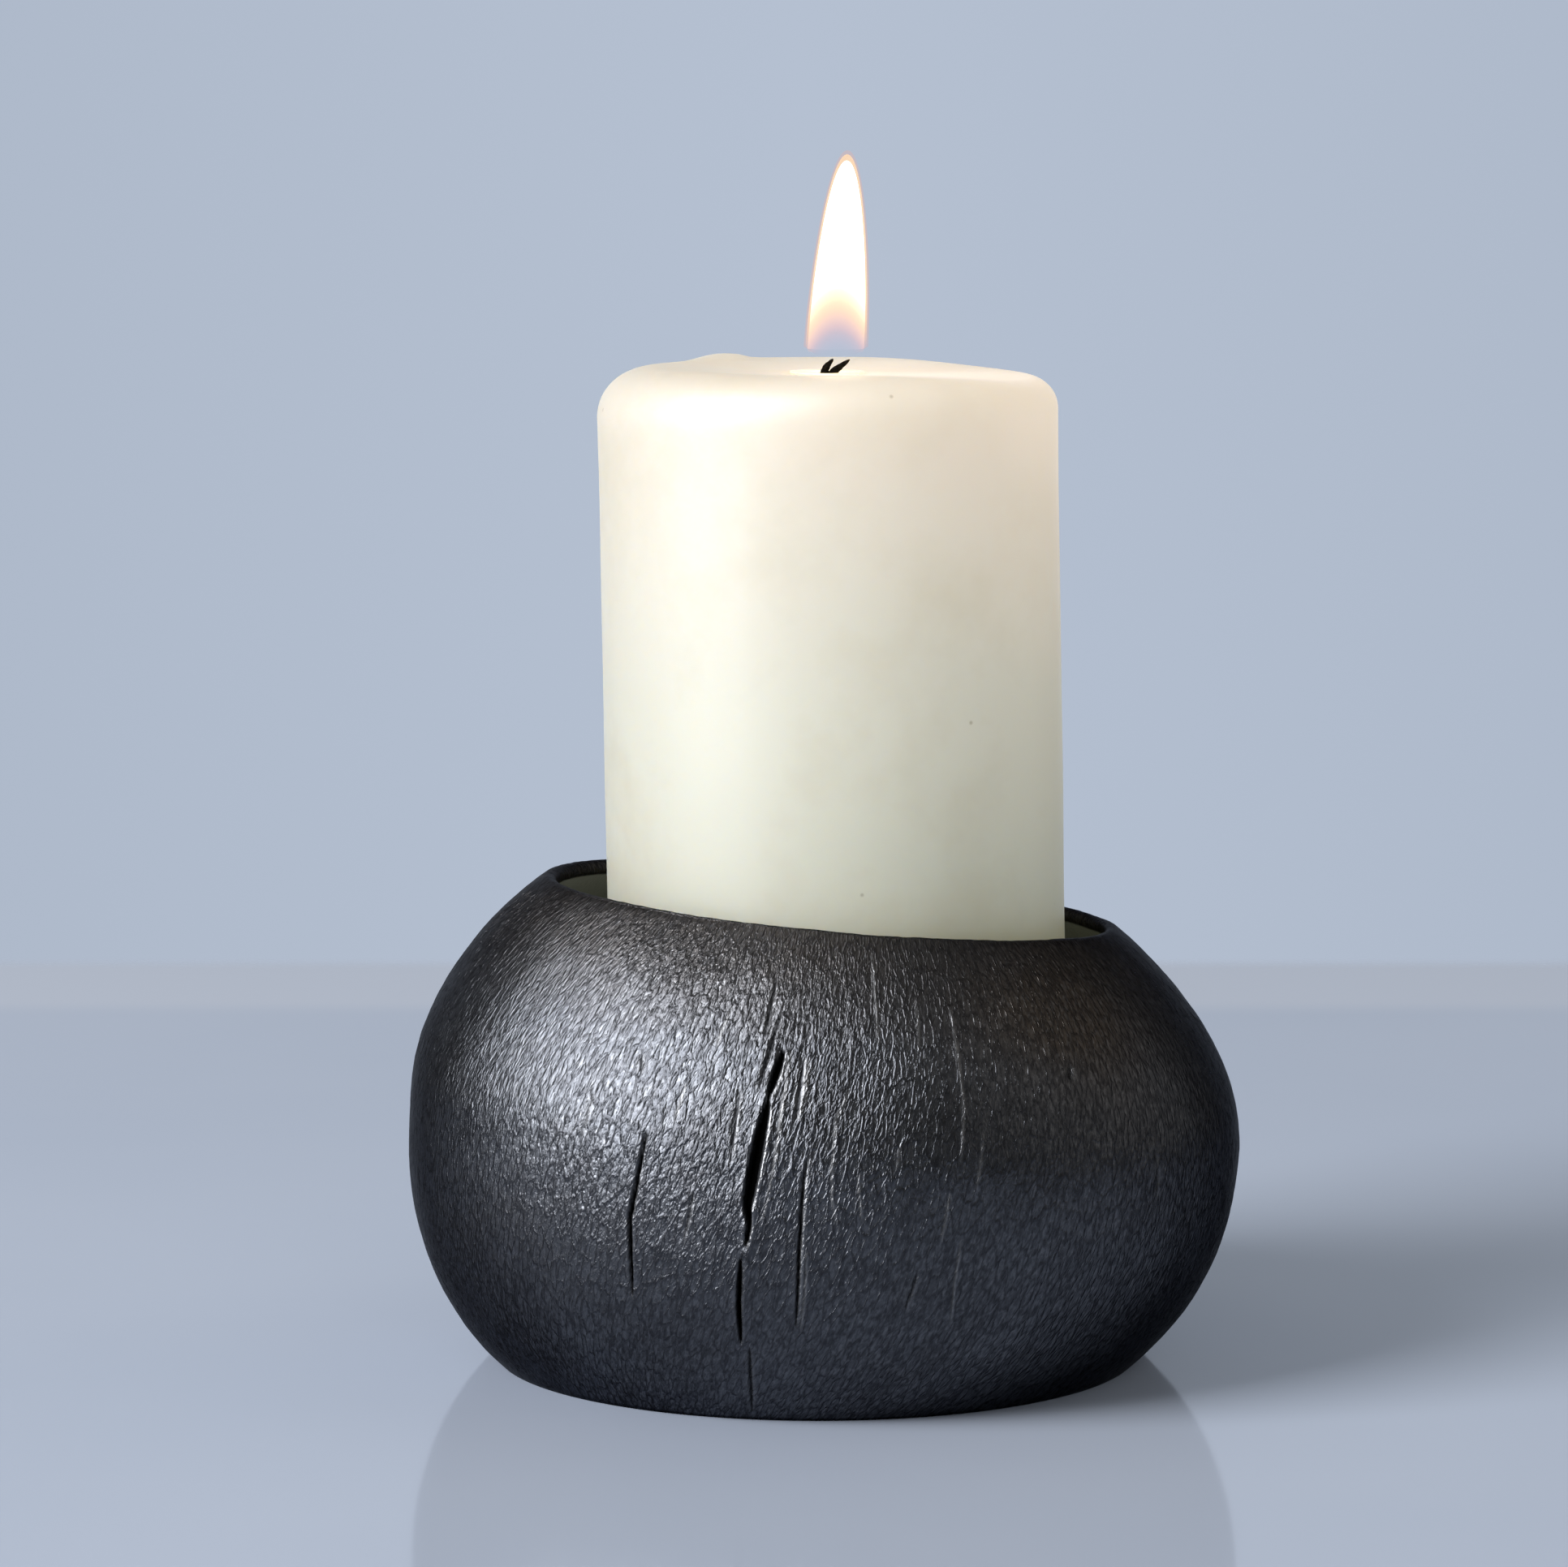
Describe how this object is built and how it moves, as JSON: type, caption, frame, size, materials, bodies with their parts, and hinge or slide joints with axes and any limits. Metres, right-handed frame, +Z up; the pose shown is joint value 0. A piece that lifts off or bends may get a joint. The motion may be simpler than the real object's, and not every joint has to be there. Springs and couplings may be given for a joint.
{
  "type": "pillar candle holder",
  "caption": "Round forged iron holder, squashed globe form with an open mouth, holding an ivory pillar candle that lifts out.",
  "frame": {"origin": "on the table, under the middle of the object's bounding box", "axes": "+Z up; +X to the right and -Y towards a viewer who sees the long split in the globe's front, so the rim is highest on -X and lowest on +X"},
  "size_m": [0.1058, 0.1057, 0.1532],
  "materials": {
    "blackened_iron": "forged, fire-blackened and waxed, satin",
    "mill_steel": "dark mill scale",
    "weld_steel": "as-welded, darkened",
    "ivory_wax": "cast candle wax, satin, translucent",
    "melted_wax": "wet, clear",
    "charred_cotton": "charred at the tip",
    "flame_light": "glowing gas"
  },
  "bodies": {
    "holder": {"holder_shell": "blackened_iron", "floor_plate": "mill_steel", "weld_bead": "weld_steel"},
    "candle": {"candle_wax": "ivory_wax", "melt_pool": "melted_wax", "wick": "charred_cotton", "flame": "flame_light"}
  },
  "joints": [
    {"name": "candle_lift", "type": "slide", "parent": "holder", "child": "candle", "axis": [0, 0, 1], "range_m": [0, 0.075]}
  ]
}
